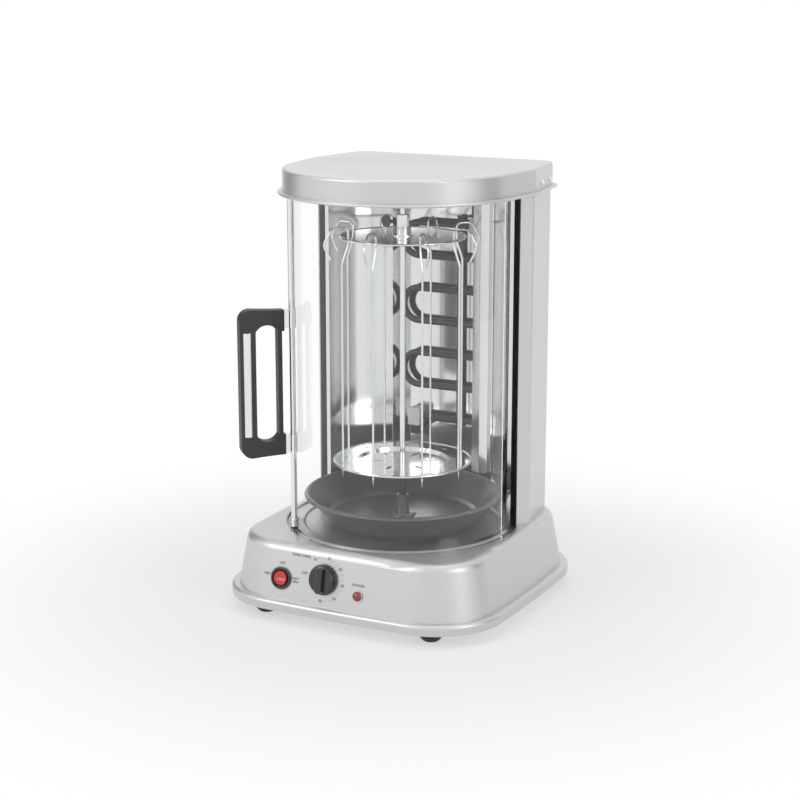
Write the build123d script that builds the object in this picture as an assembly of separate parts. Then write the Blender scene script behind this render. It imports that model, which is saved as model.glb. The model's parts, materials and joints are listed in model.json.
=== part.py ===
from build123d import *
import math
import os

# Upright electric skewer grill.  Millimetres, +Z up, controls on the -Y side.
# The origin is on the floor, under the middle of the base and on the turning axis of the rack.

# Driving dimensions
# Base
lip_half = 158.0            # half width of the flared lip, front to back as well as side to side
lip_bottom = 13.0           # lip above the floor
lip_height = 11.0
body_half = 150.0           # half width of the painted body just above the lip
body_draft = 10.5           # degrees the body leans in
body_corner = 68.0
side_bow = 5.0              # how far each side bulges
shoulder_round = 10.0
deck_z = 82.0               # top of the base
skin = 2.0                  # base wall
bottom_plate = 1.5
foot_x = 98.0
foot_y = 126.0
foot_radius = 14.0
foot_sole = 8.0

# Deck plate with the door track
deck_radius = 128.0
deck_rest = 1.0             # width of the ledge that carries the deck's edge
deck_sheet = 1.2
track_depth = 2.4
track_half = 4.4            # half width of the track at its top
deck_drop = 1.6             # middle of the deck lies this much lower
bead_radius = 69.0          # stamped bead below the pan

# Sliding glass door
door_radius = 122.0         # middle of the pane
pane_sheet = 2.0
door_edge = 226.0           # degrees: edge with the rod and the handle
door_tail = 356.0           # degrees: bare edge, beside the right wall
rod_radius = 3.8
door_top = 446.0

# Handle, measured outwards from the rod
handle_low = 165.0
handle_high = 324.0
arm_height = 24.0
arm_depth = 12.0
grip_inner = 41.0
grip_outer = 58.0
grip_tube = 5.0
rail_inner = 12.7
rail_width = 4.5

# Wall around the heater
wall_sheet = 1.2
wall_front = 32.0           # Y of the front return
wall_knee = 46.0            # Y of the widest point
wall_rear = 125.0
wall_front_x = 121.5
wall_knee_x = 130.0
wall_rear_x = 116.0
wall_top = 450.0

# Reflector
wing_radius = 114.5
wing_start = 17.0           # degrees
wing_end = 57.0
recess_back = 118.0
mirror_sheet = 0.8
mirror_top = 438.0

# Heating element
tube_radius = 3.75
heater_y = 108.0
heater_half = 54.0
leg_pitch = 37.0
leg_count = 7
leg_low = 170.0

# Lid
lid_radius = 126.5
lid_sheet = 1.0
lid_bottom = 439.0
lid_top = 466.0
lid_gap = 0.8               # between the lid and the wall
bead_tube = 3.2             # rolled bead at the foot of the lid
bead_reach = 5.0
dish_radius = 119.0
dish_floor = 80.0
dish_depth = 4.0

# Rack
shaft_radius = 3.0
shaft_top = 457.0
top_disc_radius = 67.0
top_disc_z = 392.0
low_disc_radius = 75.0
low_disc_z = 148.0
disc_sheet = 1.5
skewer_count = 8
skewer_radius = 67.0        # distance of the straight wires from the axis
wire = 1.15
tip_z = 134.0
spindle_radius = 4.0
running = 0.05              # radial clearance of what turns in a bore
collar_radius = 7.0
collar_height = 22.0
sleeve_radius = 6.5
sleeve_top = 110.0

# Drip pan
pan_rim = 107.0
pan_floor_radius = 84.0
pan_floor = 85.5
pan_top = 114.0
pan_sheet = 0.9

# Controls on the front face
knob_x, knob_z = -17.0, 52.0
rocker_x, rocker_z = -68.0, 46.0
lamp_x, lamp_z = 24.0, 41.0
knob_radius = 16.5
knob_height = 13.0
rocker_radius = 12.0
lamp_radius = 5.2
stem_radius = 3.0

clear = 0.3                 # gap between pieces that move past each other

os.makedirs("parts", exist_ok=True)


def save(name, solid):
    export_step(solid, "parts/" + name + ".step")


def ring(outer, inner, low, high):
    tube = Cylinder(outer, high - low, align=(Align.CENTER, Align.CENTER, Align.MIN))
    if inner > 0:
        tube -= Cylinder(inner, high - low, align=(Align.CENTER, Align.CENTER, Align.MIN))
    return Pos(0, 0, low) * tube


def rod(radius, low, high):
    return ring(radius, 0, low, high)


def polar(radius, degrees, z=0.0):
    a = math.radians(degrees)
    return (radius * math.cos(a), radius * math.sin(a), z)


def turned(points):
    # solid of revolution about Z from (radius, z) points
    return revolve(Plane.XZ * make_face(Polyline(*points, close=True)), Axis.Z)


def bent_sheet(line, thickness, low, high):
    # a sheet that follows a line in plan
    return Pos(0, 0, low) * extrude(trace(line, thickness), amount=high - low)


def around(shape, count, start=0.0):
    return [Rot(0, 0, start + 360.0 * i / count) * shape for i in range(count)]


def at_feet(shape):
    return [Pos(x, y, 0) * shape for x in (-foot_x, foot_x) for y in (-foot_y, foot_y)]


def bowed_square(half, corner, bow=side_bow):
    c = half - bow
    sides = [
        ThreePointArc((-c, -c), (0, -half), (c, -c)),
        ThreePointArc((c, -c), (half, 0), (c, c)),
        ThreePointArc((c, c), (0, half), (-c, c)),
        ThreePointArc((-c, c), (-half, 0), (-c, -c)),
    ]
    face = make_face(Curve() + sides)
    return fillet(face.vertices(), corner)


# Front face
lip_top = lip_bottom + lip_height
draft_slope = math.tan(math.radians(body_draft))


def face_spot(x, z):
    # a plane on the leaning front face, its Z pointing out of the face
    depth = body_half - (z - lip_top) * draft_slope
    bow = side_bow * (x / (body_half - side_bow)) ** 2
    lean = math.radians(body_draft)
    normal = Vector(0, -math.cos(lean), math.sin(lean))
    return Plane(origin=(x, -(depth - bow), z), x_dir=(1, 0, 0), z_dir=normal)


knob_spot = face_spot(knob_x, knob_z)
rocker_spot = face_spot(rocker_x, rocker_z)
lamp_spot = face_spot(lamp_x, lamp_z)


def on_spot(spot, shape):
    return spot.location * shape


def stub(radius, low, high):
    return rod(radius, low, high)


# Base
def base_shell():
    body = Pos(0, 0, lip_top - 1) * extrude(
        bowed_square(body_half, body_corner), amount=deck_z - lip_top + 1, taper=body_draft)
    top = body.edges().group_by(Axis.Z)[-1]
    body = fillet(top, shoulder_round)
    lip_corner = body_corner + lip_half - body_half
    lip = Pos(0, 0, lip_bottom) * extrude(bowed_square(lip_half, lip_corner), amount=lip_height)
    lip = fillet(lip.edges().group_by(Axis.Z)[-1], 4.0)
    inner = Pos(0, 0, lip_top - 1) * extrude(
        bowed_square(body_half - skin, body_corner - skin),
        amount=deck_z - skin - lip_top + 1, taper=body_draft)
    inner = fillet(inner.edges().group_by(Axis.Z)[-1], shoulder_round - skin)
    lip_inner = Pos(0, 0, lip_bottom) * extrude(
        bowed_square(lip_half - skin, lip_corner - skin), amount=lip_height - skin)
    shell = body + lip - inner - lip_inner
    throat = Pos(0, 0, lip_bottom) * extrude(
        bowed_square(body_half - skin, body_corner - skin), amount=lip_height)
    shell -= throat
    ledge = ring(deck_radius, 0, deck_z - deck_sheet, deck_z + 1)
    shell -= ledge + rod(deck_radius - deck_rest, deck_z - skin - 1, deck_z + 1)
    shell -= on_spot(knob_spot, stub(stem_radius + 1.5, -6, 6))
    shell -= on_spot(rocker_spot, stub(rocker_radius - 2.0, -6, 6))
    shell -= on_spot(lamp_spot, stub(lamp_radius - 1.4, -6, 6))
    shell -= Pos(gland_x, body_half, gland_z) * Rot(90, 0, 0) * stub(gland_radius, -14, 30)
    return shell


gland_x = 60.0
gland_z = 40.0
gland_radius = 7.0


def cord_gland():
    wall_y = body_half - (gland_z - lip_top) * draft_slope
    body = ring(gland_radius - 0.1, 3.6, -6.0, 2.0) + ring(gland_radius + 2.5, 3.6, 1.6, 5.0)
    return Pos(gland_x, wall_y, gland_z) * Rot(-90, 0, 0) * body


def base_bottom():
    corner = body_corner - skin
    plate = Pos(0, 0, lip_top - 5.0) * extrude(
        bowed_square(body_half - skin - 0.3, corner - 0.3), amount=bottom_plate)
    slot = Pos(0, 0, lip_top - 6.0) * extrude(SlotOverall(46, 4), amount=4)
    for row in range(5):
        plate -= Pos(0, 62.0 + 9.0 * row, 0) * slot
    for hole in at_feet(rod(2.3, plate_z - 1, plate_z + bottom_plate + 1)):
        plate -= hole
    return plate


plate_z = lip_top - 5.0


def foot():
    side = Plane.XZ * make_face(Curve() + [
        Line((0, 0), (foot_sole, 0)),
        ThreePointArc((foot_sole, 0), (foot_radius - 2.0, 4.6), (foot_radius, plate_z - 4.0)),
        Line((foot_radius, plate_z - 4.0), (foot_radius, plate_z)),
        Line((foot_radius, plate_z), (0, plate_z)),
        Line((0, plate_z), (0, 0)),
    ])
    return revolve(side, Axis.Z) - rod(2.6, 6.0, plate_z + 1) - rod(5.0, -1, 6.0)


def foot_screw():
    head = ring(4.4, 0, 3.4, 5.9)
    return head + rod(2.0, 5.9, plate_z + bottom_plate + 5.0)


def deck_plate():
    low = deck_z - deck_drop
    floor = deck_z - track_depth
    s = 2.0
    top = [
        (sleeve_radius + 0.3, low),
        (bead_radius - 4.0, low),
        (bead_radius - 1.6, low + 1.6),
        (bead_radius + 1.6, low + 1.6),
        (bead_radius + 4.0, low),
        (door_radius - track_half - 12.0, low),
        (door_radius - track_half - 9.0, deck_z),
        (door_radius - track_half, deck_z),
        (door_radius - track_half + s, floor),
        (door_radius + track_half - s, floor),
        (door_radius + track_half, deck_z),
        (deck_radius - 0.1, deck_z),
    ]
    under = [(r, z - deck_sheet) for r, z in reversed(top)]
    plate = turned(top + under)
    vent = Pos(92, 0, low - 3) * extrude(SlotOverall(10, 2.4, rotation=60), amount=6)
    for i in range(5):
        plate -= Rot(0, 0, 38 + 6 * i) * vent
        plate -= Rot(0, 0, 118 + 6 * i) * vent
    return plate


# Drive
def gear_motor():
    box = rod(32.0, 34.0, 52.0)
    box += rod(26.0, 52.0, 70.0)
    box += rod(9.0, 70.0, deck_z - deck_drop - deck_sheet - 2.3)
    ear = extrude(SlotOverall(84, 12), amount=2.0)
    box += Pos(0, 0, 68.0) * ear
    box = box - rod(spindle_radius + running, 60.0, 90.0)
    for x in (-36.0, 36.0):
        box -= Pos(x, 0, 60) * rod(2.2, 0, 20)
    return box


def motor_bracket():
    # bridge below the deck that carries the motor
    top = deck_z - deck_drop - deck_sheet - 0.2
    strap = Pos(0, 0, top - 2.0) * extrude(SlotOverall(212, 26), amount=2.0)
    strap -= rod(10.0, top - 3, top + 1)
    posts = [Pos(x, 0, 0) * ring(5.0, 2.1, 70.1, top - 2.0) for x in (-36.0, 36.0)]
    for post in posts:
        strap += post
    for x in (-36.0, 36.0):
        strap -= Pos(x, 0, 60) * rod(2.1, 0, 30)
    return strap


def motor_screws():
    top = deck_z - deck_drop - deck_sheet - 0.2
    screws = []
    for x in (-36.0, 36.0):
        screws.append(Pos(x, 0, 0) * (rod(1.9, 66.0, top - 0.4) + ring(3.8, 0, 65.4, 68.0)))
    return Compound(screws)


def drive_sleeve():
    low = deck_z - deck_drop
    tube = ring(sleeve_radius, spindle_radius + running, low - 1.0, sleeve_top)
    tube += ring(14.0, spindle_radius + running, low, low + 2.0)
    return chamfer(tube.edges().group_by(Axis.Z)[-1], 0.6)


def drive_spindle():
    body = rod(spindle_radius, 62.0, low_disc_z - disc_sheet - 8.0)
    return body - rod(shaft_radius - 0.8, low_disc_z - 20.0, low_disc_z)


# Drip pan
def drip_pan():
    t = pan_sheet
    f = pan_floor
    hole = sleeve_radius + 1.0
    wall_x = pan_rim - 4.0
    top = pan_top - 1.2
    profile = [
        (hole, f + 2.4), (hole, f + 2.4 + t), (13.0, f + 2.4 + t), (14.5, f + t),
        (pan_floor_radius - 5.0, f + t), (pan_floor_radius, f + t + 2.0),
        (wall_x - t, top), (wall_x, top), (pan_floor_radius + t, f + 2.0),
        (pan_floor_radius - 4.4, f), (13.8, f), (12.4, f + 2.4),
    ]
    pan = turned(profile)
    rim_center = pan_rim - 2.4
    rim = revolve(Plane.XZ * Pos(rim_center, pan_top - 2.4) * Circle(2.4), Axis.Z)
    foot_low = deck_z - deck_drop
    stud = Pos(60.0, 0, 0) * rod(3.0, foot_low, f + 0.4)
    for s in around(stud, 3, 30.0):
        pan += s
    return pan + rim


# Rack
skewer_angles = [360.0 * i / skewer_count for i in range(skewer_count)]
notch_inner = 55.5


def rack_top_disc():
    disc = ring(top_disc_radius, 0, top_disc_z, top_disc_z + disc_sheet)
    rim = revolve(
        Plane.XZ * Pos(top_disc_radius - 0.9, top_disc_z + 0.9) * Circle(1.3), Axis.Z)
    disc += rim
    disc += ring(collar_radius + 4.0, 0, top_disc_z, top_disc_z + 2.6)
    disc -= rod(shaft_radius + running, top_disc_z - 1, top_disc_z + 5)
    length = top_disc_radius + 4.0 - notch_inner
    notch = Pos(notch_inner + length / 2 + wire, 0, top_disc_z - 2) * extrude(
        SlotOverall(length, 2 * wire + 1.2), amount=6)
    for n in around(notch, skewer_count):
        disc -= n
    eye = Pos(38.0, 0, top_disc_z - 1) * extrude(SlotOverall(9, 3.6, rotation=90), amount=4)
    for e in around(eye, skewer_count, 22.5):
        disc -= e
    return disc


def rack_collar():
    low = top_disc_z + 2.6
    collar = ring(collar_radius, shaft_radius + running, low, low + collar_height)
    collar = fillet(collar.edges().group_by(Axis.Z)[-1].sort_by(SortBy.LENGTH)[-1], 1.2)
    screw_z = low + collar_height / 2 + 2.0
    return collar - Pos(0, 0, screw_z) * Rot(0, -90, 0) * rod(2.0 + running, 0, 20)


def thumb_screw():
    low = top_disc_z + 2.6
    screw_z = low + collar_height / 2 + 2.0
    stem = rod(2.0, shaft_radius + 0.25, 16.0)
    stem += rod(3.2, collar_radius + 0.6, collar_radius + 2.2)
    # flat oval wing with a thickened rim
    wing = extrude(Ellipse(6.6, 4.6), amount=1.6, both=True)
    wing -= Pos(0, 0, 1.1) * extrude(Ellipse(4.6, 2.8), amount=2)
    wing -= Pos(0, 0, -1.1) * extrude(Ellipse(4.6, 2.8), amount=-2)
    wing = Pos(0, 0, 15.0 + 4.6) * Rot(90, 0, 90) * Rot(0, 0, 90) * wing
    return Pos(0, 0, screw_z) * Rot(0, -90, 0) * (stem + wing)


def rack_low_disc():
    disc = ring(low_disc_radius, 0, low_disc_z, low_disc_z + disc_sheet)
    dish = turned([
        (48.0, low_disc_z + 0.2), (48.0, low_disc_z - 2.6), (50.6, low_disc_z - 2.6),
        (52.4, low_disc_z + 0.2)])
    disc -= rod(50.0, low_disc_z - 1, low_disc_z + 5)
    disc += dish + ring(48.4, 0, low_disc_z - 2.6, low_disc_z - 1.1)
    disc += revolve(
        Plane.XZ * Pos(low_disc_radius - 1.2, low_disc_z + 0.8) * Circle(1.5), Axis.Z)
    hole = Pos(skewer_radius, 0, 0) * rod(wire + 0.35, low_disc_z - 4, low_disc_z + 6)
    for h in around(hole, skewer_count):
        disc -= h
    slot = Pos(30.0, 0, low_disc_z - 4) * extrude(SlotOverall(16, 4.0), amount=8)
    for s in around(slot, 6, 30.0):
        disc -= s
    ear = Pos(61.0, 0, low_disc_z - 1) * extrude(SlotOverall(8, 3.4, rotation=90), amount=8)
    for e in around(ear, skewer_count, 22.5):
        disc -= e
    return disc - rod(shaft_radius, low_disc_z - 8, low_disc_z + 8)


def spit_shaft():
    shaft = rod(shaft_radius, low_disc_z - disc_sheet - 7.0, shaft_top)
    shaft += rod(shaft_radius - 0.9, low_disc_z - 19.0, low_disc_z - disc_sheet - 6.9)
    return chamfer(shaft.edges().group_by(Axis.Z)[-1], 0.8)


def hub_nut():
    low = low_disc_z - 2.6 - 7.0
    nut = Pos(0, 0, low) * extrude(RegularPolygon(9.0, 6), amount=4.6)
    nut += ring(8.4, 0, low + 4.6, low + 7.0)
    return nut - rod(shaft_radius, low - 1, low + 9) - rod(spindle_radius, low - 1, low + 1.0)


hook_bend = 5.2


def skewer():
    # wire in the X-Z plane: straight shank, kink inwards below the top disc, finger hook outwards
    points = [
        (skewer_radius, tip_z + 8.0),
        (skewer_radius, top_disc_z - 26.0),
        (notch_inner + 4.0, top_disc_z - 5.0),
        (notch_inner + 5.0, top_disc_z + 12.0),
        (skewer_radius + 10.0, top_disc_z + 12.5),
        (skewer_radius + 20.0, top_disc_z - 5.0),
        (skewer_radius + 12.0, top_disc_z - 21.0),
    ]
    radii = [14.0, 8.0, hook_bend, hook_bend + 5.0, hook_bend + 3.0]
    path = FilletPolyline(*[(x, 0, z) for x, z in points], radius=radii)
    start = Plane(origin=(skewer_radius, 0, tip_z + 8.0), z_dir=(0, 0, 1))
    shank = sweep(start * Circle(wire), path=path)
    tip = Pos(skewer_radius, 0, tip_z + 4.0) * Cone(
        0.25, wire, 8.0, align=(Align.CENTER, Align.CENTER, Align.CENTER))
    return shank + tip


# Door
pane_in = door_radius - pane_sheet / 2
pane_out = door_radius + pane_sheet / 2
track_floor = deck_z - track_depth


def sector(inner, outer, start, end, low, high):
    outline = Curve() + [
        CenterArc((0, 0), outer, start, end - start),
        Line(polar(outer, end)[:2], polar(inner, end)[:2]),
        CenterArc((0, 0), inner, end, start - end),
        Line(polar(inner, start)[:2], polar(outer, start)[:2]),
    ]
    return Pos(0, 0, low) * extrude(make_face(outline), amount=high - low)


rod_turn = math.degrees(math.asin(rod_radius / door_radius))


def door_glass():
    start = door_edge + rod_turn - math.degrees(1.6 / door_radius)
    return sector(pane_in, pane_out, start, door_tail, track_floor + 0.8, door_top)


def at_rod(shape):
    # local X points outwards from the rod, local Z up
    return Rot(0, 0, door_edge) * Pos(door_radius, 0, 0) * shape


def door_rod():
    # bright tube slit along the side that holds the pane
    tube = rod(rod_radius, deck_z + 8.0, lid_bottom - 0.8)
    body = at_rod(tube)
    groove = sector(pane_in - 0.02, pane_out + 0.02, door_edge + rod_turn * 0.55, door_edge + 5,
                    deck_z + 4, door_top + 4)
    return body - groove


def rod_ferrule():
    cap = rod(rod_radius + 1.0, deck_z + 3.0, deck_z + 12.0)
    cap = fillet(cap.edges().group_by(Axis.Z)[-1], 0.8)
    cap = at_rod(cap - rod(rod_radius, deck_z + 8.0, deck_z + 14.0))
    groove = sector(pane_in - 0.15, pane_out + 0.15, door_edge + rod_turn * 0.4, door_edge + 5,
                    deck_z, door_top)
    return cap - groove


def rod_foot():
    foot_body = rod(1.9, track_floor + 0.4, deck_z + 0.6)
    foot_body += rod(rod_radius + 0.6, deck_z + 0.5, deck_z + 3.0)
    foot_body = at_rod(foot_body)
    groove = sector(pane_in - 0.15, pane_out + 0.15, door_edge + rod_turn * 0.4, door_edge + 5,
                    track_floor, door_top)
    return foot_body - groove


def side_profile(shape_2d, depth):
    # a sketch in (outwards, up) made into a piece of the handle, centred on the radial plane
    return at_rod(extrude(Plane.XZ * shape_2d, amount=depth / 2, both=True))


handle_middle = (handle_low + handle_high) / 2


def box_2d(x0, x1, z0, z1):
    return Pos((x0 + x1) / 2, (z0 + z1) / 2) * Rectangle(x1 - x0, z1 - z0)


def handle_arm(low):
    # curved arm: rounded at the grip end, waisted in the middle, with a lug for the screws
    high = low + arm_height
    upper = low > handle_middle
    outer_z, inner_z = (high, low) if upper else (low, high)
    sign = 1 if upper else -1
    outline = Curve() + [
        Line((rail_inner - 2.7, outer_z - sign * 2), (rail_inner - 2.7, inner_z)),
        Line((rail_inner - 2.7, inner_z), (rail_inner + rail_width, inner_z)),
        ThreePointArc((rail_inner + rail_width, inner_z),
                      ((rail_inner + grip_inner) / 2 + 2, inner_z + sign * 7.0),
                      (grip_inner, inner_z)),
        Line((grip_inner, inner_z), (grip_outer, inner_z)),
        Line((grip_outer, inner_z), (grip_outer, outer_z - sign * 12)),
        ThreePointArc((grip_outer, outer_z - sign * 12),
                      (grip_outer - 3.6, outer_z - sign * 3.6), (grip_outer - 12, outer_z)),
        ThreePointArc((grip_outer - 12, outer_z), ((grip_outer + rail_inner) / 2 - 6,
                      outer_z - sign * 1.2), (rail_inner - 2.7, outer_z - sign * 2)),
    ]
    arm = side_profile(make_face(outline), arm_depth)
    return arm


def clamp_plate(z):
    # folded metal strip that ties the arm to the rod
    plate = rod(rod_radius + 1.0, z, z + arm_height - 4.0) - rod(rod_radius, z - 1, z + 40)
    tongue_end = rail_inner - 2.7
    tongue = Pos((rod_radius - 0.6 + tongue_end) / 2, 0, z + arm_height / 2 - 2) * Box(
        tongue_end - rod_radius + 0.6, 5.0, arm_height - 4.0)
    plate += tongue - rod(rod_radius, z - 1, z + 40)
    plate = at_rod(plate)
    groove = sector(pane_in - 0.15, pane_out + 0.15, door_edge + rod_turn * 0.4, door_edge + 8,
                    z - 2, z + 40)
    return plate - groove


def handle_screws():
    screws = []
    for low in (handle_low, handle_high - arm_height):
        for up in (6.0, arm_height - 8.0):
            head = Pos(rod_radius + 3.4, -2.5, low + up) * Rot(90, 0, 0) * rod(2.0, 0, 1.3)
            screws.append(at_rod(head))
    return Compound(screws)


grip_low = handle_low + arm_height
grip_high = handle_high - arm_height


def grip_back():
    body = side_profile(box_2d(grip_inner, grip_outer, grip_low, grip_high), arm_depth)
    middle = (grip_inner + grip_outer) / 2 + 0.6
    return body - at_rod(Pos(middle, -grip_face, 0) * rod(grip_tube, grip_low - 1, grip_high + 1))


grip_face = -4.0            # the bright tube stands out of the side that faces the door's front


def grip_tube_piece():
    middle = (grip_inner + grip_outer) / 2 + 0.6
    return at_rod(Pos(middle, -grip_face, 0) * rod(grip_tube, grip_low, grip_high))


def handle_rail():
    return side_profile(
        box_2d(rail_inner, rail_inner + rail_width, grip_low, grip_high), arm_depth)


def door_guide():
    # ring below the lid that holds the top of the pane
    low, high = door_top - 6.0, door_top + 3.0
    inner, outer = pane_in - 2.2, lid_radius - lid_sheet
    guide = ring(outer, inner, low, high)
    guide -= ring(pane_out + 0.9, pane_in - 0.9, low - 1, door_top + 1.0)
    return guide & sector(60.0, 200.0, 168.0, 372.0, low - 1, high + 1)


# Wall and reflector
def rear_wall():
    line = FilletPolyline(
        (-wall_front_x, wall_front), (-wall_knee_x, wall_knee), (-wall_rear_x, wall_rear),
        (wall_rear_x, wall_rear), (wall_knee_x, wall_knee), (wall_front_x, wall_front),
        radius=[3.0, 8.0, 8.0, 3.0])
    wall = bent_sheet(line, wall_sheet, deck_z, wall_top)
    louvre = Plane.XZ * SlotOverall(60, 4.0)
    slot = Pos(0, wall_rear, 0) * extrude(louvre, amount=6, both=True)
    for row in range(6):
        wall -= Pos(0, 0, 372.0 + 9.0 * row) * slot
        wall -= Pos(0, 0, 110.0 + 9.0 * row) * slot
    return wall


def reflector_side(sign):
    # polished wing, concentric with the rack, and the side of the heater recess
    edge = polar(wing_radius, wing_end)
    wing = sector(wing_radius, wing_radius + mirror_sheet, wing_start, wing_end, deck_z, mirror_top)
    lip = Pos(edge[0] + mirror_sheet / 2, (edge[1] + recess_back) / 2, deck_z) * Box(
        mirror_sheet, recess_back - edge[1] + 0.4, mirror_top - deck_z,
        align=(Align.CENTER, Align.CENTER, Align.MIN))
    fold = Pos(*polar(wing_radius, wing_start)[:2], deck_z) * Box(
        4.4, mirror_sheet, mirror_top - deck_z, align=(Align.MIN, Align.CENTER, Align.MIN))
    side = wing + lip + fold
    return side if sign > 0 else mirror(side, about=Plane.YZ)


recess_half = wing_radius * math.cos(math.radians(wing_end))


def reflector_back():
    low, high = deck_z, mirror_top
    width = 2 * recess_half + 2 * mirror_sheet
    back = Pos(0, recess_back + 0.2 + mirror_sheet / 2, low) * Box(
        width, mirror_sheet, high - low, align=(Align.CENTER, Align.CENTER, Align.MIN))
    return back


def heating_element():
    # one tube bent to and fro, ends turned back into the terminal blocks
    bend = leg_pitch / 2
    reach = heater_half - bend
    lines = []
    start = (-reach - 8.0, leg_low)
    x, z = start
    for i in range(leg_count):
        side = 1 if i % 2 == 0 else -1
        last = i == leg_count - 1
        end_x = side * (reach + 8.0) if last else side * reach
        lines.append(Line((x, z), (end_x, z)))
        if not last:
            arc_mid = (end_x + side * bend, z + bend)
            lines.append(ThreePointArc((end_x, z), arc_mid, (end_x, z + leg_pitch)))
            z += leg_pitch
        x = end_x
    path = Wire([e for line in lines for e in line.edges()])
    path = Plane.XZ.offset(-heater_y).location * path
    start_plane = Plane(origin=(start[0], heater_y, start[1]), z_dir=(1, 0, 0))
    return sweep(start_plane * Circle(tube_radius), path=path)


leg_high = leg_low + leg_pitch * (leg_count - 1)
terminal_reach = heater_half - leg_pitch / 2 + 8.0


def terminal_block(x, z):
    block = Box(15.0, 13.0, 20.0)
    block = fillet(block.edges().filter_by(Axis.Y), 2.5)
    block -= Pos(0, 1.0, 0) * Rot(0, 90, 0) * Cylinder(tube_radius + 0.02, 40)
    return Pos(x, heater_y - 1.0, z) * block


def ceramic_terminals():
    return Compound([
        terminal_block(-terminal_reach + 7.5 - 2.0, leg_low),
        terminal_block(terminal_reach - 7.5 + 2.0, leg_high)])


def terminal_brackets():
    parts = []
    for x, z, sign in ((-terminal_reach + 5.5, leg_low, -1), (terminal_reach - 5.5, leg_high, 1)):
        foot_part = Pos(x, recess_back - 0.8, z + sign * 17.0) * Box(24.0, 2.0, 14.0)
        arm = Pos(x, recess_back - 9.0, z + sign * 11.0) * Box(24.0, 15.0, 1.8)
        parts.append(foot_part + arm)
    return Compound(parts)


def heater_bracket():
    # dark upright strap that holds the legs off the reflector
    strap = Pos(14.0, heater_y + tube_radius + 1.1, (leg_low + leg_high) / 2) * Box(
        7.0, 1.6, leg_high - leg_low + 20.0)
    standoff = Pos(14.0, (heater_y + tube_radius + 1.9 + recess_back + 0.2) / 2, 0)
    depth = recess_back + 0.2 - heater_y - tube_radius - 1.9
    for z in (leg_low + leg_pitch / 2, leg_high - leg_pitch / 2):
        strap += standoff * Pos(0, 0, z) * Box(5.0, depth, 6.0)
    for i in range(leg_count):
        clip = Pos(14.0, heater_y + tube_radius / 2, leg_low + leg_pitch * i)
        strap += clip * Box(3.4, tube_radius + 1.0, 2 * tube_radius + 3.0)
        strap -= Pos(14.0, heater_y, leg_low + leg_pitch * i) * Rot(0, 90, 0) * Cylinder(
            tube_radius + 0.03, 20)
    return strap


def guard_strip():
    side = recess_half
    line = Polyline((38.0, 96.5), (49.5, 90.5), (57.0, 95.0), (57.0, 100.0), (side - 0.01, 100.0))
    return bent_sheet(line, mirror_sheet, pan_top + 3.0, mirror_top)


# Lid
def lid_outline(grow):
    out = lid_gap + wall_sheet / 2 + lid_sheet + grow
    rear = wall_rear + out
    knee_x = wall_knee_x + out
    box = make_hull(
        Polyline((-knee_x, wall_knee), (-wall_rear_x - out, rear), (wall_rear_x + out, rear),
                 (knee_x, wall_knee), close=True).edges() + Circle(lid_radius + grow).edges())
    corners = box.vertices().filter_by(lambda v: v.Y > wall_rear - 10)
    return fillet(corners, 12.0 + grow)


def lid_shell():
    skirt = Pos(0, 0, lid_bottom) * extrude(lid_outline(0), amount=lid_top - lid_bottom)
    skirt = fillet(skirt.edges().group_by(Axis.Z)[-1], 3.0)
    hollow = Pos(0, 0, lid_bottom - 1) * extrude(
        lid_outline(-lid_sheet), amount=lid_top - lid_bottom - dish_depth - lid_sheet + 1)
    upper = Pos(0, 0, lid_top - dish_depth - lid_sheet - 0.01) * extrude(
        lid_outline(-lid_sheet), amount=dish_depth)
    hollow += upper - Cone(dish_floor + 1.0, dish_radius + 1.0, dish_depth + 0.4,
                           align=(Align.CENTER, Align.CENTER, Align.MIN)).moved(
        Location((0, 0, lid_top - dish_depth - lid_sheet - 0.02)))
    dish = Pos(0, 0, lid_top - dish_depth) * Cone(
        dish_floor, dish_radius, dish_depth, align=(Align.CENTER, Align.CENTER, Align.MIN))
    flange = Pos(0, 0, lid_bottom) * extrude(lid_outline(bead_reach), amount=bead_tube)
    rims = flange.edges().group_by(Axis.Z)
    flange = fillet(rims[0] + rims[-1], bead_tube * 0.45)
    flange -= Pos(0, 0, lid_bottom - 1) * extrude(lid_outline(-lid_sheet), amount=6)
    return skirt - hollow - dish + flange


def lid_screws():
    screws = []
    for sign in (-1, 1):
        for y in (70.0, 104.0):
            out = lid_gap + wall_sheet / 2 + lid_sheet
            slope = (wall_knee_x - wall_rear_x) / (wall_rear + out - wall_knee)
            x = wall_knee_x + out - slope * (y - wall_knee)
            head = rod(2.6, 0.0, 1.8)
            head = fillet(head.edges().group_by(Axis.Z)[-1], 0.9)
            turn = math.degrees(math.atan(slope))
            piece = Pos(x, y, lid_bottom + 10.0) * Rot(0, 0, turn) * Rot(0, 90, 0) * head
            screws.append(piece if sign > 0 else mirror(piece, about=Plane.YZ))
    return Compound(screws)


def top_bearing():
    high = lid_top - dish_depth - lid_sheet
    body = ring(9.0, shaft_radius + running, shaft_top - 10.0, shaft_top + 0.6)
    body += ring(16.0, 0, shaft_top + 0.6, high)
    return body


# Controls
def timer_body():
    case = Box(34, 34, 24, align=(Align.CENTER, Align.CENTER, Align.MAX))
    case = Pos(0, 0, -skin - 1.4) * fillet(case.edges().filter_by(Axis.Z), 3.0)
    stem = stub(stem_radius, -skin - 2.0, knob_height - 6.0)
    flat = Pos(0, stem_radius + 1.2, knob_height - 8.0) * Box(8, 3, 12)
    return on_spot(knob_spot, case + (stem - flat))


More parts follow.
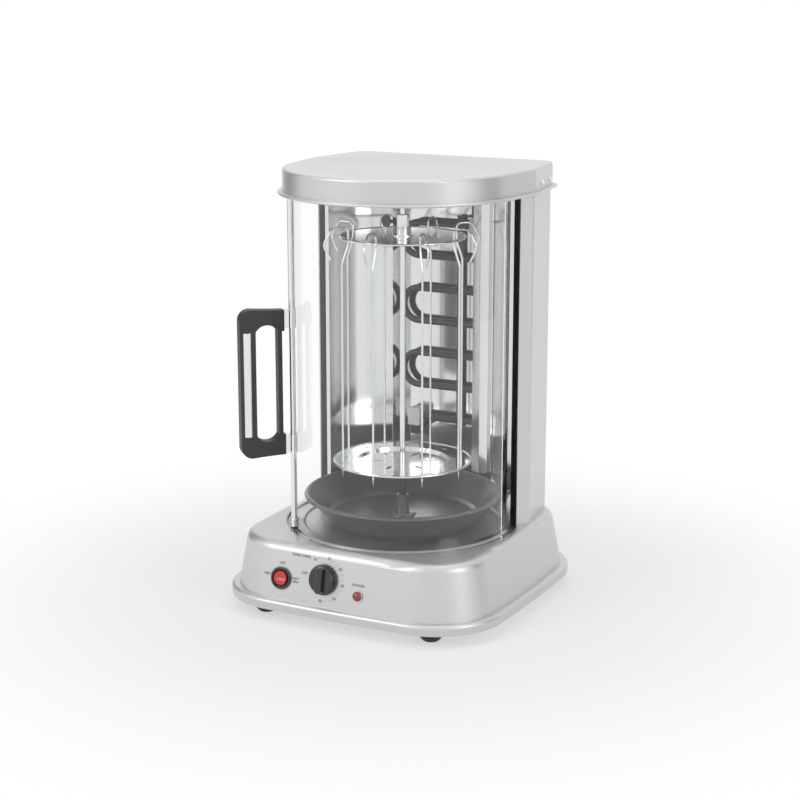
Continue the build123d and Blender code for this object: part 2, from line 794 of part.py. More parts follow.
def timer_knob():
    skirt = Cone(knob_radius, knob_radius - 0.9, 3.2, align=(Align.CENTER, Align.CENTER, Align.MIN))
    skirt = Pos(0, 0, 0.8) * skirt
    dome = Pos(0, 0, 4.0) * Cone(
        knob_radius - 1.8, knob_radius - 2.9, 4.0, align=(Align.CENTER, Align.CENTER, Align.MIN))
    dome = fillet(dome.edges().group_by(Axis.Z)[-1], 1.2)
    ridge = Pos(0, 0, 6.0) * extrude(SlotOverall(2 * knob_radius - 5.0, 7.6, rotation=90),
                                     amount=knob_height - 6.0)
    ridge = fillet(ridge.edges().group_by(Axis.Z)[-1], 1.6)
    body = skirt + dome + ridge
    for i in range(24):
        groove = Rot(0, 0, 15 * i) * Pos(knob_radius + 0.2, 0, 0) * rod(0.7, 0, 4.4)
        body -= groove
    return on_spot(knob_spot, body - stub(stem_radius + running, 0, knob_height - 5.0))


bezel_lift = 0.15           # the flat bezel clears the bowed face by this much
rocker_bore = rocker_radius - 3.2
rocker_pivot = -5.0         # pin below the face
rocker_pin = 1.3
pin_engage = 0.7            # how far each pin enters the barrel's wall
rocker_axis = Pos(0, 0, rocker_pivot) * Rot(-90, 0, 0)


def rocker_housing():
    bezel = ring(rocker_radius, rocker_radius - 2.4, bezel_lift, 2.4)
    bezel = fillet(bezel.edges().group_by(Axis.Z)[-1].sort_by(SortBy.LENGTH)[-1], 1.0)
    barrel = ring(rocker_radius - 2.2, rocker_bore, -16.0, 0.6)
    barrel -= rocker_axis * rod(rocker_pin + running, -rocker_radius, rocker_radius)
    floor = rod(rocker_radius - 2.2, -17.0, -15.8)
    return on_spot(rocker_spot, bezel + barrel + floor)


def rocker_button():
    # round button with a hollowed top, tilting sideways about its pin
    r = rocker_bore - 1.3
    body = rod(r, -9.0, 3.0)
    scoop = Pos(0, 0, 3.0 + 21.0) * Rot(90, 0, 0) * Cylinder(22.0, 40)
    pins = rocker_axis * rod(rocker_pin, -rocker_bore - pin_engage, rocker_bore + pin_engage)
    return on_spot(rocker_spot, body - scoop + pins)


def pilot_lamp():
    dome = Sphere(lamp_radius) & (Pos(0, 0, lamp_radius) * Box(20, 20, 2 * lamp_radius))
    lens = Pos(0, 0, 0.9) * scale(dome, (1, 1, 0.72))
    return on_spot(lamp_spot, lens + rod(lamp_radius - 1.6, -3.0, 1.0))


def lamp_bezel():
    collar = ring(lamp_radius + 0.9, lamp_radius + 0.02, 0.0, 1.2)
    sleeve = ring(lamp_radius - 1.45, lamp_radius - 1.58, -3.0, 0.0)
    return on_spot(lamp_spot, collar)


# Write the pieces
pieces = {
    "base_shell": base_shell,
    "base_bottom": base_bottom,
    "deck_plate": deck_plate,
    "cord_gland": cord_gland,
    "gear_motor": gear_motor,
    "motor_bracket": motor_bracket,
    "motor_screws": motor_screws,
    "drive_sleeve": drive_sleeve,
    "drive_spindle": drive_spindle,
    "drip_pan": drip_pan,
    "rack_top_disc": rack_top_disc,
    "rack_collar": rack_collar,
    "thumb_screw": thumb_screw,
    "rack_low_disc": rack_low_disc,
    "spit_shaft": spit_shaft,
    "hub_nut": hub_nut,
    "door_glass": door_glass,
    "door_rod": door_rod,
    "rod_ferrule": rod_ferrule,
    "rod_foot": rod_foot,
    "handle_arm_upper": lambda: handle_arm(handle_high - arm_height),
    "handle_arm_lower": lambda: handle_arm(handle_low),
    "clamp_upper": lambda: clamp_plate(handle_high - arm_height + 2.0),
    "clamp_lower": lambda: clamp_plate(handle_low + 2.0),
    "handle_screws": handle_screws,
    "handle_grip": grip_back,
    "grip_tube": grip_tube_piece,
    "handle_rail": handle_rail,
    "door_guide": door_guide,
    "rear_wall": rear_wall,
    "reflector_right": lambda: reflector_side(1),
    "reflector_left": lambda: reflector_side(-1),
    "reflector_back": reflector_back,
    "heating_element": heating_element,
    "ceramic_terminals": ceramic_terminals,
    "terminal_brackets": terminal_brackets,
    "heater_bracket": heater_bracket,
    "guard_strip": guard_strip,
    "lid_shell": lid_shell,
    "lid_screws": lid_screws,
    "top_bearing": top_bearing,
    "timer_body": timer_body,
    "timer_knob": timer_knob,
    "rocker_housing": rocker_housing,
    "rocker_button": rocker_button,
    "pilot_lamp": pilot_lamp,
    "lamp_bezel": lamp_bezel,
}

for name, make in pieces.items():
    save(name, make())

save("rubber_feet", Compound(at_feet(foot())))
save("foot_screws", Compound(at_feet(foot_screw())))
for i, angle in enumerate(skewer_angles):
    save(f"skewer_{i + 1}", Rot(0, 0, angle) * skewer())
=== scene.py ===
import json
import math

import bmesh
import bpy
from mathutils import Matrix, Vector


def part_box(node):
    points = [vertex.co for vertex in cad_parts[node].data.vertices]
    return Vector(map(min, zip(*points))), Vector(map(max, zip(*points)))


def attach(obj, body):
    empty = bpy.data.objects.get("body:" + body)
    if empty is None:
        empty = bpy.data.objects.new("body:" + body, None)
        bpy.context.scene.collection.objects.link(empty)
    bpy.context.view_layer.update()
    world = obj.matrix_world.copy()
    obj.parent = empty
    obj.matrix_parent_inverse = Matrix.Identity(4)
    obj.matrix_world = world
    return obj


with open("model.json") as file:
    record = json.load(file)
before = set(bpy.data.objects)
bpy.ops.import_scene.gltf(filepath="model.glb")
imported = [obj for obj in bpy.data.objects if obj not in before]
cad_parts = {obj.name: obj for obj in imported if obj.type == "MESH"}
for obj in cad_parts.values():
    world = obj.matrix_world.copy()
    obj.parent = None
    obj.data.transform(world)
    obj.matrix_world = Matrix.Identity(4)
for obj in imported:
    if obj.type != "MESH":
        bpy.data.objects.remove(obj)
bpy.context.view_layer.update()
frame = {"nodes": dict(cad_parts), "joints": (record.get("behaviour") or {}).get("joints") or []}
nodes = frame["nodes"]
joints = {j["name"]: j for j in frame["joints"]}
scene = bpy.context.scene
print("frame loaded:", len(nodes), "nodes")


# small helpers
def addNode(tree, kind, **settings):
    node = tree.nodes.new(kind)
    for name, value in settings.items():
        setattr(node, name, value)
    return node


def setInputs(node, values):
    for name, value in values.items():
        node.inputs[name].default_value = value
    return node


def newGroup(name, inputs, outputs):
    tree = bpy.data.node_groups.new(name, "ShaderNodeTree")
    for label, kind, value in inputs:
        socket = tree.interface.new_socket(label, in_out="INPUT", socket_type=kind)
        socket.default_value = value
    for label, kind in outputs:
        tree.interface.new_socket(label, in_out="OUTPUT", socket_type=kind)
    return tree, addNode(tree, "NodeGroupInput"), addNode(tree, "NodeGroupOutput")


def useGroup(tree, group, values):
    node = addNode(tree, "ShaderNodeGroup", node_tree=group)
    return setInputs(node, values)


def newMaterial(name, values):
    mat = bpy.data.materials.new(name)
    mat.use_nodes = True
    tree = mat.node_tree
    tree.nodes.clear()
    out = addNode(tree, "ShaderNodeOutputMaterial")
    bsdf = setInputs(addNode(tree, "ShaderNodeBsdfPrincipled"), values)
    tree.links.new(bsdf.outputs["BSDF"], out.inputs["Surface"])
    return mat, tree, bsdf


def dress(material, *names):
    for name in names:
        mesh = nodes[name].data
        mesh.materials.clear()
        mesh.materials.append(material)


# shared effects
floatSocket = "NodeSocketFloat"
colorSocket = "NodeSocketColor"
vectorSocket = "NodeSocketVector"


def makeGrainGroup():
    # fine grain on a coat or a moulding: two noises, one broad for shade and one fine for relief
    tree, gin, gout = newGroup(
        "surfaceGrain",
        [("Color", colorSocket, (0.5, 0.5, 0.5, 1)), ("Shade Color", colorSocket, (0.4, 0.4, 0.4, 1)),
         ("Shade Scale", floatSocket, 8.0), ("Shade Amount", floatSocket, 0.2),
         ("Grain Scale", floatSocket, 900.0), ("Relief", floatSocket, 0.1),
         ("Roughness", floatSocket, 0.4), ("Roughness Spread", floatSocket, 0.1)],
        [("Color", colorSocket), ("Roughness", floatSocket), ("Normal", vectorSocket)])
    link = tree.links.new
    coord = addNode(tree, "ShaderNodeTexCoord")
    broad = setInputs(addNode(tree, "ShaderNodeTexNoise"), {"Detail": 3.0, "Roughness": 0.5})
    link(coord.outputs["Object"], broad.inputs["Vector"])
    link(gin.outputs["Shade Scale"], broad.inputs["Scale"])
    fine = setInputs(addNode(tree, "ShaderNodeTexNoise"), {"Detail": 2.0, "Roughness": 0.6})
    link(coord.outputs["Object"], fine.inputs["Vector"])
    link(gin.outputs["Grain Scale"], fine.inputs["Scale"])
    amount = addNode(tree, "ShaderNodeMath", operation="MULTIPLY")
    link(broad.outputs["Fac"], amount.inputs[0])
    link(gin.outputs["Shade Amount"], amount.inputs[1])
    mix = addNode(tree, "ShaderNodeMix", data_type="RGBA")
    link(amount.outputs[0], mix.inputs["Factor"])
    link(gin.outputs["Color"], mix.inputs["A"])
    link(gin.outputs["Shade Color"], mix.inputs["B"])
    link(mix.outputs["Result"], gout.inputs["Color"])
    spread = addNode(tree, "ShaderNodeMath", operation="MULTIPLY_ADD")
    link(broad.outputs["Fac"], spread.inputs[0])
    link(gin.outputs["Roughness Spread"], spread.inputs[1])
    link(gin.outputs["Roughness"], spread.inputs[2])
    link(spread.outputs[0], gout.inputs["Roughness"])
    bump = setInputs(addNode(tree, "ShaderNodeBump"), {"Distance": 0.0002})
    link(gin.outputs["Relief"], bump.inputs["Strength"])
    link(fine.outputs["Fac"], bump.inputs["Height"])
    link(bump.outputs["Normal"], gout.inputs["Normal"])
    return tree


def makeBrushGroup():
    # drawn or brushed metal: noise stretched along one axis
    tree, gin, gout = newGroup(
        "brushedMetal",
        [("Stretch", vectorSocket, (400.0, 400.0, 6.0)), ("Relief", floatSocket, 0.05),
         ("Roughness", floatSocket, 0.2), ("Roughness Spread", floatSocket, 0.15),
         ("Color", colorSocket, (0.6, 0.6, 0.6, 1)), ("Stain Color", colorSocket, (0.5, 0.48, 0.45, 1)),
         ("Stain Amount", floatSocket, 0.15)],
        [("Color", colorSocket), ("Roughness", floatSocket), ("Normal", vectorSocket)])
    link = tree.links.new
    coord = addNode(tree, "ShaderNodeTexCoord")
    scaled = addNode(tree, "ShaderNodeVectorMath", operation="MULTIPLY")
    link(coord.outputs["Object"], scaled.inputs[0])
    link(gin.outputs["Stretch"], scaled.inputs[1])
    lines = setInputs(addNode(tree, "ShaderNodeTexNoise"), {"Scale": 1.0, "Detail": 4.0, "Roughness": 0.7})
    link(scaled.outputs[0], lines.inputs["Vector"])
    stain = setInputs(addNode(tree, "ShaderNodeTexNoise"), {"Scale": 14.0, "Detail": 5.0, "Roughness": 0.6})
    link(coord.outputs["Object"], stain.inputs["Vector"])
    spread = addNode(tree, "ShaderNodeMath", operation="MULTIPLY_ADD")
    link(lines.outputs["Fac"], spread.inputs[0])
    link(gin.outputs["Roughness Spread"], spread.inputs[1])
    link(gin.outputs["Roughness"], spread.inputs[2])
    link(spread.outputs[0], gout.inputs["Roughness"])
    patch = addNode(tree, "ShaderNodeMapRange")
    setInputs(patch, {"From Min": 0.45, "From Max": 0.75})
    link(stain.outputs["Fac"], patch.inputs["Value"])
    amount = addNode(tree, "ShaderNodeMath", operation="MULTIPLY")
    link(patch.outputs["Result"], amount.inputs[0])
    link(gin.outputs["Stain Amount"], amount.inputs[1])
    mix = addNode(tree, "ShaderNodeMix", data_type="RGBA")
    link(amount.outputs[0], mix.inputs["Factor"])
    link(gin.outputs["Color"], mix.inputs["A"])
    link(gin.outputs["Stain Color"], mix.inputs["B"])
    link(mix.outputs["Result"], gout.inputs["Color"])
    bump = setInputs(addNode(tree, "ShaderNodeBump"), {"Distance": 0.0001})
    link(gin.outputs["Relief"], bump.inputs["Strength"])
    link(lines.outputs["Fac"], bump.inputs["Height"])
    link(bump.outputs["Normal"], gout.inputs["Normal"])
    return tree


grainGroup = makeGrainGroup()
brushGroup = makeBrushGroup()


def grainMaterial(name, look, values):
    mat, tree, bsdf = newMaterial(name, values)
    group = useGroup(tree, grainGroup, look)
    for socket, target in (("Color", "Base Color"), ("Roughness", "Roughness"), ("Normal", "Normal")):
        tree.links.new(group.outputs[socket], bsdf.inputs[target])
    return mat


def brushedMaterial(name, look, values):
    mat, tree, bsdf = newMaterial(name, {"Metallic": 1.0, **values})
    group = useGroup(tree, brushGroup, look)
    for socket, target in (("Color", "Base Color"), ("Roughness", "Roughness"), ("Normal", "Normal")):
        tree.links.new(group.outputs[socket], bsdf.inputs[target])
    return mat


def grey(value, alpha=1.0):
    return (value, value, value * 1.01, alpha)


# finishes
silverPaint = grainMaterial(
    "silverPaint",
    {"Color": grey(0.66), "Shade Color": grey(0.56), "Shade Scale": 5.0, "Shade Amount": 0.25,
     "Grain Scale": 1400.0, "Relief": 0.10, "Roughness": 0.34, "Roughness Spread": 0.06},
    {"Metallic": 0.55, "Coat Weight": 0.25, "Coat Roughness": 0.25})
# deck plate: a darker, more metallic grey than the body paint, with stronger broad darker patches
darkDeckGrey = grainMaterial(
    "darkDeckGrey",
    {"Color": grey(0.50), "Shade Color": grey(0.40), "Shade Scale": 7.0, "Shade Amount": 0.35,
     "Grain Scale": 1400.0, "Relief": 0.08, "Roughness": 0.26, "Roughness Spread": 0.10},
    {"Metallic": 0.75, "Coat Weight": 0.2, "Coat Roughness": 0.2})
galvanised = grainMaterial(
    "galvanised",
    {"Color": grey(0.55), "Shade Color": grey(0.38), "Shade Scale": 60.0, "Shade Amount": 0.5,
     "Grain Scale": 300.0, "Relief": 0.15, "Roughness": 0.38, "Roughness Spread": 0.2},
    {"Metallic": 0.9})
mirrorSteel = brushedMaterial(
    "mirrorSteel",
    {"Stretch": (500.0, 500.0, 5.0), "Relief": 0.03, "Roughness": 0.07, "Roughness Spread": 0.07,
     "Color": grey(0.72), "Stain Color": (0.60, 0.58, 0.54, 1), "Stain Amount": 0.25}, {})
chrome = brushedMaterial(
    "chrome",
    {"Stretch": (300.0, 300.0, 300.0), "Relief": 0.02, "Roughness": 0.09, "Roughness Spread": 0.06,
     "Color": grey(0.80), "Stain Color": grey(0.66), "Stain Amount": 0.25}, {})
wireSteel = brushedMaterial(
    "wireSteel",
    {"Stretch": (700.0, 700.0, 12.0), "Relief": 0.05, "Roughness": 0.14, "Roughness Spread": 0.12,
     "Color": grey(0.78), "Stain Color": grey(0.58), "Stain Amount": 0.3}, {})
plainSteel = brushedMaterial(
    "plainSteel",
    {"Stretch": (40.0, 40.0, 900.0), "Relief": 0.08, "Roughness": 0.26, "Roughness Spread": 0.16,
     "Color": grey(0.58), "Stain Color": grey(0.42), "Stain Amount": 0.3}, {})
darkSteel = brushedMaterial(
    "darkSteel",
    {"Stretch": (200.0, 200.0, 200.0), "Relief": 0.1, "Roughness": 0.35, "Roughness Spread": 0.2,
     "Color": grey(0.07), "Stain Color": (0.10, 0.08, 0.07, 1), "Stain Amount": 0.5}, {})
heaterSheath = grainMaterial(
    "heaterSheath",
    {"Color": grey(0.035), "Shade Color": (0.10, 0.085, 0.075, 1), "Shade Scale": 40.0, "Shade Amount": 0.6,
     "Grain Scale": 900.0, "Relief": 0.35, "Roughness": 0.38, "Roughness Spread": 0.25},
    {"Metallic": 0.6})
whiteCeramic = grainMaterial(
    "whiteCeramic",
    {"Color": (0.83, 0.82, 0.79, 1), "Shade Color": (0.70, 0.68, 0.63, 1), "Shade Scale": 90.0,
     "Shade Amount": 0.4, "Grain Scale": 1200.0, "Relief": 0.3, "Roughness": 0.5,
     "Roughness Spread": 0.2}, {})
panCoat = grainMaterial(
    "panCoat",
    {"Color": grey(0.105), "Shade Color": grey(0.16), "Shade Scale": 30.0, "Shade Amount": 0.4,
     "Grain Scale": 1600.0, "Relief": 0.25, "Roughness": 0.26, "Roughness Spread": 0.12},
    {"Metallic": 0.35, "Coat Weight": 0.3, "Coat Roughness": 0.15})
blackPlastic = grainMaterial(
    "blackPlastic",
    {"Color": grey(0.030), "Shade Color": grey(0.045), "Shade Scale": 25.0, "Shade Amount": 0.5,
     "Grain Scale": 2200.0, "Relief": 0.5, "Roughness": 0.40, "Roughness Spread": 0.12},
    {"IOR": 1.5})
glossBlack = grainMaterial(
    "glossBlack",
    {"Color": grey(0.018), "Shade Color": grey(0.028), "Shade Scale": 40.0, "Shade Amount": 0.5,
     "Grain Scale": 1500.0, "Relief": 0.06, "Roughness": 0.16, "Roughness Spread": 0.10},
    {"Coat Weight": 0.5, "Coat Roughness": 0.08})
redPlastic = grainMaterial(
    "redPlastic",
    {"Color": (0.74, 0.02, 0.025, 1), "Shade Color": (0.55, 0.012, 0.018, 1), "Shade Scale": 60.0,
     "Shade Amount": 0.4, "Grain Scale": 1500.0, "Relief": 0.05, "Roughness": 0.16, "Roughness Spread": 0.08},
    {"Coat Weight": 0.6, "Coat Roughness": 0.06, "Subsurface Weight": 0.1, "Subsurface Scale": 0.002})
lampRed = grainMaterial(
    "lampRed",
    {"Color": (0.33, 0.006, 0.010, 1), "Shade Color": (0.20, 0.004, 0.006, 1), "Shade Scale": 160.0,
     "Shade Amount": 0.5, "Grain Scale": 800.0, "Relief": 0.03, "Roughness": 0.06, "Roughness Spread": 0.05},
    {"Coat Weight": 1.0, "Coat Roughness": 0.03})
footRubber = grainMaterial(
    "footRubber",
    {"Color": grey(0.022), "Shade Color": grey(0.040), "Shade Scale": 50.0, "Shade Amount": 0.6,
     "Grain Scale": 1500.0, "Relief": 0.5, "Roughness": 0.52, "Roughness Spread": 0.15}, {})
printInk = grainMaterial(
    "printInk",
    {"Color": grey(0.09), "Shade Color": grey(0.16), "Shade Scale": 200.0, "Shade Amount": 0.4,
     "Grain Scale": 2000.0, "Relief": 0.1, "Roughness": 0.45, "Roughness Spread": 0.1}, {})
whiteInk = grainMaterial(
    "whiteInk",
    {"Color": (0.85, 0.80, 0.79, 1), "Shade Color": (0.75, 0.70, 0.69, 1), "Shade Scale": 200.0,
     "Shade Amount": 0.4, "Grain Scale": 2000.0, "Relief": 0.1, "Roughness": 0.4,
     "Roughness Spread": 0.1}, {})


def makeDoorGlass():
    mat, tree, bsdf = newMaterial(
        "doorGlass",
        {"Transmission Weight": 1.0, "IOR": 1.46, "Base Color": (0.97, 0.985, 0.98, 1), "Metallic": 0.0})
    coord = addNode(tree, "ShaderNodeTexCoord")
    film = setInputs(addNode(tree, "ShaderNodeTexNoise"), {"Scale": 9.0, "Detail": 6.0, "Roughness": 0.6})
    tree.links.new(coord.outputs["Object"], film.inputs["Vector"])
    haze = setInputs(addNode(tree, "ShaderNodeMapRange"),
                     {"From Min": 0.5, "From Max": 0.8, "To Min": 0.0, "To Max": 0.05})
    tree.links.new(film.outputs["Fac"], haze.inputs["Value"])
    tree.links.new(haze.outputs["Result"], bsdf.inputs["Roughness"])
    return mat


doorGlass = makeDoorGlass()
print("materials made:", len(bpy.data.materials))

skewerNames = sorted(n for n in nodes if n.startswith("skewer_"))
dress(silverPaint, "base_shell", "lid_shell", "rear_wall")
dress(darkDeckGrey, "deck_plate")
dress(galvanised, "base_bottom", "motor_bracket", "foot_screws", "motor_screws", "gear_motor")
dress(mirrorSteel, "reflector_left", "reflector_right", "reflector_back", "guard_strip")
dress(chrome, "rack_top_disc", "rack_low_disc", "spit_shaft", "hub_nut", "door_rod", "rod_ferrule",
      "grip_tube", "clamp_upper", "clamp_lower", "handle_screws", "lid_screws", "rack_collar")
dress(wireSteel, *skewerNames)
dress(plainSteel, "drive_sleeve", "top_bearing", "door_guide", "lamp_bezel")
dress(darkSteel, "drive_spindle", "terminal_brackets", "heater_bracket", "thumb_screw")
dress(heaterSheath, "heating_element")
dress(whiteCeramic, "ceramic_terminals")
dress(panCoat, "drip_pan")
dress(doorGlass, "door_glass")
dress(blackPlastic, "handle_arm_upper", "handle_arm_lower", "handle_grip", "handle_rail", "cord_gland",
      "timer_body", "rod_foot")
dress(glossBlack, "timer_knob", "rocker_housing")
dress(redPlastic, "rocker_button")
dress(lampRed, "pilot_lamp")
dress(footRubber, "rubber_feet")
print("frame dressed")


# printed marks on the front
frontLook = {
    "inkLift": 0.00012,       # ink stands this far off the paint
    "inkThick": 0.00008,
    "dialRadius": 0.0226,
    "numberSize": 0.0044,
    "dotRadius": 0.00048,
    "wordSize": 0.0042,
    "firstAngle": 122.0,      # degrees at the number 10
    "stepAngle": -43.6,
    "offAngle": 172.0,
    "markSize": 0.0034,
    "markGap": 0.0036,
    "markBold": 0.00012,
    "smallWord": 0.9,         # words beside a switch, as shares of the number size
    "sideWord": 0.8,
    "timerWord": (-0.029, 0.0205),
    "lampWord": 0.0105,       # above the lamp
    "rockerTop": 0.0165,
    "rockerSide": 0.0175,
    "leftWordUp": 0.003,
    "rightWordUp": 0.001,
    "offOut": 0.001,          # OFF stands this much further out than the numbers
    "castFrom": -0.4,         # lines towards the front face start here
}


def facePoint(carrier, x, z):
    # where a line straight from the front meets the carrier, and its outward direction there
    _, place, normal, _ = carrier.ray_cast(Vector((x, frontLook["castFrom"], z)), Vector((0, 1, 0)))
    return place, normal


def wrapOnFace(obj, carrier, lift):
    # lays a flat mesh, drawn in X and Y, on the carrier; its local Z is its thickness
    for v in obj.data.vertices:
        place, normal = facePoint(carrier, v.co.x, v.co.y)
        v.co = place + normal * (lift + v.co.z)


def flatText(words, size, x, y, turn=0.0, bold=0.0):
    curve = bpy.data.curves.new("words", "FONT")
    curve.body = words
    curve.size = size
    curve.align_x = "CENTER"
    curve.align_y = "CENTER"
    curve.offset = bold
    curve.extrude = frontLook["inkThick"]
    curve.resolution_u = 3
    holder = bpy.data.objects.new("words", curve)
    mesh = bpy.data.meshes.new_from_object(holder)
    bpy.data.objects.remove(holder)
    mesh.transform(Matrix.Translation((x, y, 0)) @ Matrix.Rotation(turn, 4, "Z"))
    return mesh


def joinMeshes(name, meshes):
    bm = bmesh.new()
    for mesh in meshes:
        bm.from_mesh(mesh)
        bpy.data.meshes.remove(mesh)
    out = bpy.data.meshes.new(name)
    bm.to_mesh(out)
    bm.free()
    obj = bpy.data.objects.new(name, out)
    scene.collection.objects.link(obj)
    return obj


def flatDot(x, y, radius):
    bm = bmesh.new()
    bmesh.ops.create_cone(
        bm, cap_ends=True, segments=16, radius1=radius, radius2=radius, depth=2 * frontLook["inkThick"],
        matrix=Matrix.Translation((x, y, 0)))
    mesh = bpy.data.meshes.new("dot")
    bm.to_mesh(mesh)
    bm.free()
    return mesh


def makeDialPrint():
    centre = Vector(joints["timer_turn"]["pos_m"])
    cx, cz = centre.x, centre.z
    radius = frontLook["dialRadius"]
    parts = []

    def around(angle, r=radius):
        a = math.radians(angle)
        return cx + r * math.cos(a), cz + r * math.sin(a)

    for i in range(6):
        angle = frontLook["firstAngle"] + i * frontLook["stepAngle"]
        x, z = around(angle)
        parts.append(flatText(str(10 * (i + 1)), frontLook["numberSize"], x, z))
        if i < 5:
            for third in (1, 2):
                x, z = around(angle + frontLook["stepAngle"] * third / 3)
                parts.append(flatDot(x, z, frontLook["dotRadius"]))
    smallSize = frontLook["numberSize"] * frontLook["smallWord"]
    sideSize = frontLook["numberSize"] * frontLook["sideWord"]
    x, z = around(frontLook["offAngle"], radius + frontLook["offOut"])
    parts.append(flatText("OFF", smallSize, x, z))
    wordX, wordZ = frontLook["timerWord"]
    parts.append(flatText("TIMER (MIN)", frontLook["wordSize"], cx + wordX, cz + wordZ))
    lampLow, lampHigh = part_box("pilot_lamp")
    lampX = (lampLow.x + lampHigh.x) / 2
    lampZ = (lampLow.z + lampHigh.z) / 2
    parts.append(flatText("POWER", frontLook["wordSize"], lampX, lampZ + frontLook["lampWord"]))
    rocker = Vector(joints["rocker_tilt"]["pos_m"])
    side = frontLook["rockerSide"]
    parts.append(flatText("OFF", smallSize, rocker.x, rocker.z + frontLook["rockerTop"]))
    parts.append(flatText("HEAT", sideSize, rocker.x - side, rocker.z + frontLook["leftWordUp"]))
    parts.append(flatText("HEAT\nSPIN", sideSize, rocker.x + side, rocker.z + frontLook["rightWordUp"]))
    obj = joinMeshes("dial_print", parts)
    wrapOnFace(obj, nodes["base_shell"], frontLook["inkLift"])
    obj.data.materials.append(printInk)
    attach(obj, "root")
    return obj


def makeRockerMarks():
    place = Vector(joints["rocker_tilt"]["pos_m"])
    size, gap = frontLook["markSize"], frontLook["markGap"]
    parts = [flatText(word, size, place.x + i * gap, place.z, bold=frontLook["markBold"])
             for i, word in ((-1, "I"), (0, "O"), (1, "II"))]
    obj = joinMeshes("rocker_marks", parts)
    wrapOnFace(obj, nodes["rocker_button"], frontLook["inkLift"])
    obj.data.materials.append(whiteInk)
    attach(obj, "rocker")
    return obj


makeDialPrint()
makeRockerMarks()
print("front print made")


# stage, light and camera
stageLook = {
    "floorSize": 6.0,
    "floorColor": (0.92, 0.92, 0.92, 1),
    "fadeStart": 0.20,        # metres from the axis where the lit floor begins to turn white
    "fadeEnd": 0.62,
    "floorGlow": 0.55,        # share of plain white in the lit floor, which softens the shadow
    "worldStrength": 0.42,
    "middle": (0, 0, 0.25),   # lamps and cards face this point
}


def backgroundRay(tree):
    # 1 for what the camera sees directly, in metal or through glass
    path = addNode(tree, "ShaderNodeLightPath")
    value = path.outputs["Is Camera Ray"]
    for name in ("Is Glossy Ray", "Is Transmission Ray"):
        either = addNode(tree, "ShaderNodeMath", operation="MAXIMUM")
        tree.links.new(value, either.inputs[0])
        tree.links.new(path.outputs[name], either.inputs[1])
        value = either.outputs[0]
    return value


def floorPaper():
    mat, tree, bsdf = newMaterial("floorPaper", {"Base Color": stageLook["floorColor"], "Roughness": 0.9,
                                                 "Specular IOR Level": 0.0})
    link = tree.links.new
    coord = addNode(tree, "ShaderNodeTexCoord")
    reach = addNode(tree, "ShaderNodeVectorMath", operation="LENGTH")
    link(coord.outputs["Object"], reach.inputs[0])
    fade = setInputs(addNode(tree, "ShaderNodeMapRange", interpolation_type="SMOOTHSTEP"),
                     {"From Min": stageLook["fadeStart"], "From Max": stageLook["fadeEnd"],
                      "To Min": stageLook["floorGlow"], "To Max": 1.0})
    link(reach.outputs["Value"], fade.inputs["Value"])
    share = addNode(tree, "ShaderNodeMath", operation="MULTIPLY")
    link(fade.outputs["Result"], share.inputs[0])
    link(backgroundRay(tree), share.inputs[1])
    white = setInputs(addNode(tree, "ShaderNodeEmission"), {"Color": (1, 1, 1, 1), "Strength": 1.0})
    mix = addNode(tree, "ShaderNodeMixShader")
    link(share.outputs[0], mix.inputs["Fac"])
    link(bsdf.outputs["BSDF"], mix.inputs[1])
    link(white.outputs[0], mix.inputs[2])
    out = next(n for n in tree.nodes if n.type == "OUTPUT_MATERIAL")
    link(mix.outputs[0], out.inputs["Surface"])
    return mat


def makeFloor():
    bm = bmesh.new()
    bmesh.ops.create_grid(bm, x_segments=1, y_segments=1, size=stageLook["floorSize"])
    mesh = bpy.data.meshes.new("floor")
    bm.to_mesh(mesh)
    bm.free()
    floor = bpy.data.objects.new("floor", mesh)
    scene.collection.objects.link(floor)
    floor.data.materials.append(floorPaper())


def makeWorld():
    world = bpy.data.worlds.new("studio")
    scene.world = world
    world.use_nodes = True
    tree = world.node_tree
    tree.nodes.clear()
    out = addNode(tree, "ShaderNodeOutputWorld")
    light = setInputs(addNode(tree, "ShaderNodeBackground"),
                      {"Color": (1, 1, 1, 1), "Strength": stageLook["worldStrength"]})
    seen = setInputs(addNode(tree, "ShaderNodeBackground"), {"Color": (1, 1, 1, 1), "Strength": 1.0})
    mix = addNode(tree, "ShaderNodeMixShader")
    tree.links.new(backgroundRay(tree), mix.inputs["Fac"])
    tree.links.new(light.outputs[0], mix.inputs[1])
    tree.links.new(seen.outputs[0], mix.inputs[2])
    tree.links.new(mix.outputs[0], out.inputs["Surface"])


def areaLight(name, place, target, size, power):
    data = bpy.data.lights.new(name, "AREA")
    data.shape = "RECTANGLE"
    data.size, data.size_y = size
    data.energy = power
    lamp = bpy.data.objects.new(name, data)
    scene.collection.objects.link(lamp)
    lamp.location = place
    lamp.rotation_mode = "QUATERNION"
    lamp.rotation_quaternion = (Vector(target) - Vector(place)).to_track_quat("-Z", "Y")
    return lamp


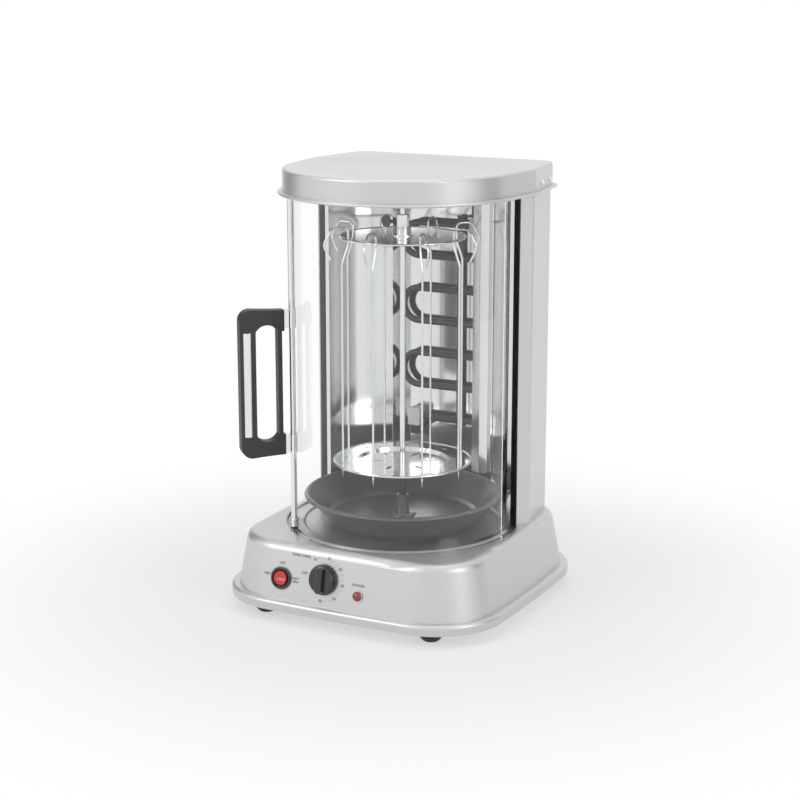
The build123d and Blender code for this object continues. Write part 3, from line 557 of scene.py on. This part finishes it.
def shadeCard(name, place, size, value):
    # dark card that only metal and gloss see
    bm = bmesh.new()
    bmesh.ops.create_grid(bm, x_segments=1, y_segments=1, size=0.5)
    bmesh.ops.scale(bm, verts=bm.verts, vec=(size[0], size[1], 1))
    mesh = bpy.data.meshes.new(name)
    bm.to_mesh(mesh)
    bm.free()
    card = bpy.data.objects.new(name, mesh)
    scene.collection.objects.link(card)
    card.location = place
    card.rotation_mode = "QUATERNION"
    card.rotation_quaternion = (Vector(stageLook["middle"]) - Vector(place)).to_track_quat("-Z", "Y")
    mat, tree, bsdf = newMaterial(name, {"Base Color": grey(value), "Roughness": 0.9})
    mesh.materials.append(mat)
    card.visible_camera = False
    card.visible_shadow = False
    card.visible_diffuse = False
    card.visible_transmission = False


lampLook = {
    "keyBox": {"place": (-1.3, -2.0, 1.5), "size": (1.2, 1.4), "power": 18},
    "sideBox": {"place": (2.2, -0.6, 1.1), "size": (0.9, 1.6), "power": 12},
    "topBox": {"place": (0.0, 0.2, 2.2), "size": (1.6, 1.6), "power": 8},
}
cardLook = {
    "leftCard": {"place": (-1.5, 0.35, 0.45), "size": (0.9, 1.8), "value": 0.03},
    "rightCard": {"place": (1.5, 0.75, 0.45), "size": (0.7, 1.8), "value": 0.06},
}


def makeLights():
    for name, look in lampLook.items():
        areaLight(name, look["place"], stageLook["middle"], look["size"], look["power"])


def makeCamera():
    look = {"azimuth": 27.43, "distance": 1.945, "height": 0.678, "aimHeight": 0.2146, "lens": 83.4,
            "aimLeft": 0.0029}
    a = math.radians(look["azimuth"])
    data = bpy.data.cameras.new("camera")
    camera = bpy.data.objects.new("camera", data)
    scene.collection.objects.link(camera)
    data.sensor_width = 36.0
    data.lens = look["lens"]
    right = Vector((math.cos(a), math.sin(a), 0))
    camera.location = (look["distance"] * math.sin(a), -look["distance"] * math.cos(a), look["height"])
    aim = Vector((0, 0, look["aimHeight"])) - right * look["aimLeft"]
    camera.rotation_mode = "QUATERNION"
    camera.rotation_quaternion = (aim - camera.location).to_track_quat("-Z", "Y")
    scene.camera = camera


makeFloor()
makeWorld()
makeLights()
for cardName, look in cardLook.items():
    shadeCard(cardName, look["place"], look["size"], look["value"])
makeCamera()
scene.view_settings.view_transform = "Standard"
print("stage, light and camera set")
